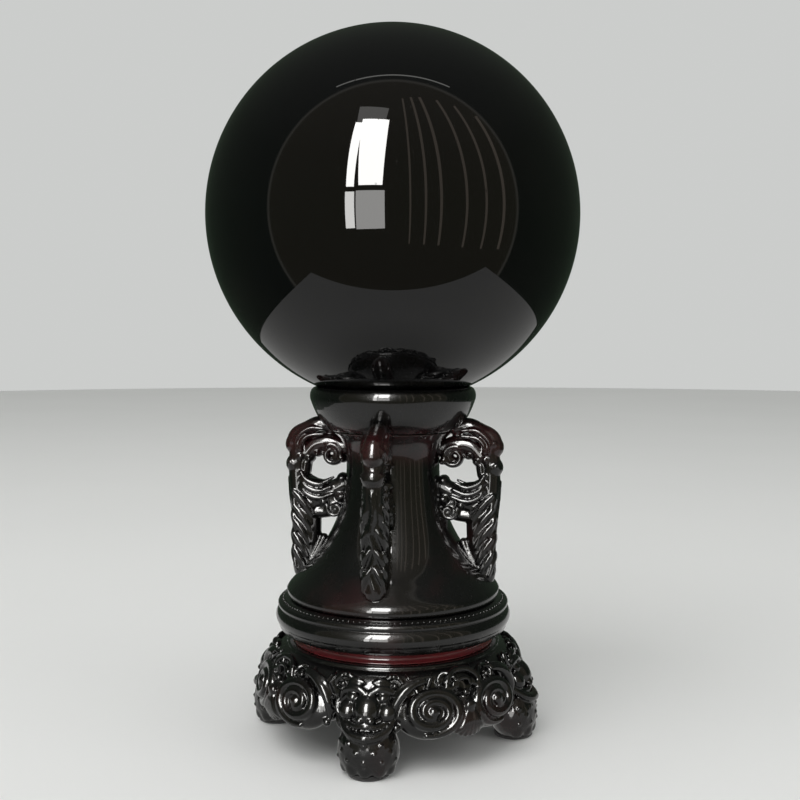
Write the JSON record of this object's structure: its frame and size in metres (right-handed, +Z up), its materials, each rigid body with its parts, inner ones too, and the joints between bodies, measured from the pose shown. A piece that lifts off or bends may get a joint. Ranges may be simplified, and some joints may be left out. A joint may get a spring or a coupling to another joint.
{
  "type": "crystal ball",
  "caption": "Polished near-black ball resting loose on a glossy carved stand with scroll brackets, a red waist band and beast-mask paw feet.",
  "frame": {"origin": "centre of the resting plane, straight below the ball's centre", "axes": "+Z up through the ball, -Y towards the front leg, +X to the right"},
  "size_m": [0.08, 0.08, 0.152],
  "materials": {
    "ball_glass": "opaque near-black glass, mirror polished",
    "black_lacquer": "cast resin in black lacquer with a deep red cast, high gloss",
    "red_lacquer": "deep red lacquer, gloss",
    "seat_rubber": "soft black rubber, satin",
    "steel": "plain steel",
    "brass": "dull brass",
    "felt": "black felt"
  },
  "bodies": {
    "stand": {"cup_rim": "black_lacquer", "neck": "black_lacquer", "ring_moulding": "black_lacquer", "base_crown": "black_lacquer", "waist_ring": "red_lacquer", "bracket_front": "black_lacquer", "bracket_right": "black_lacquer", "bracket_back": "black_lacquer", "bracket_left": "black_lacquer", "bracket_pin_upper_front": "steel", "bracket_pin_lower_front": "steel", "bracket_pin_upper_right": "steel", "bracket_pin_lower_right": "steel", "bracket_pin_upper_back": "steel", "bracket_pin_lower_back": "steel", "bracket_pin_upper_left": "steel", "bracket_pin_lower_left": "steel", "apron_front_right": "black_lacquer", "apron_back_right": "black_lacquer", "apron_back_left": "black_lacquer", "apron_front_left": "black_lacquer", "leg_front": "black_lacquer", "leg_screw_front": "brass", "foot_pad_front": "felt", "leg_right": "black_lacquer", "leg_screw_right": "brass", "foot_pad_right": "felt", "leg_back": "black_lacquer", "leg_screw_back": "brass", "foot_pad_back": "felt", "leg_left": "black_lacquer", "leg_screw_left": "brass", "foot_pad_left": "felt", "tie_rod": "steel", "rod_insert": "brass", "rod_washer": "steel", "rod_nut": "steel"},
    "seat_ring": {"seat_ring": "seat_rubber"},
    "ball": {"ball": "ball_glass"}
  },
  "joints": [
    {"name": "seat_turn", "type": "hinge", "parent": "stand", "child": "seat_ring", "pos_m": [0, 0, 0.0738], "axis": [0, 0, 1], "continuous": true},
    {"name": "ball_lift", "type": "slide", "parent": "seat_ring", "child": "ball", "axis": [0, 0, 1], "range_m": [0, 0.06]}
  ]
}
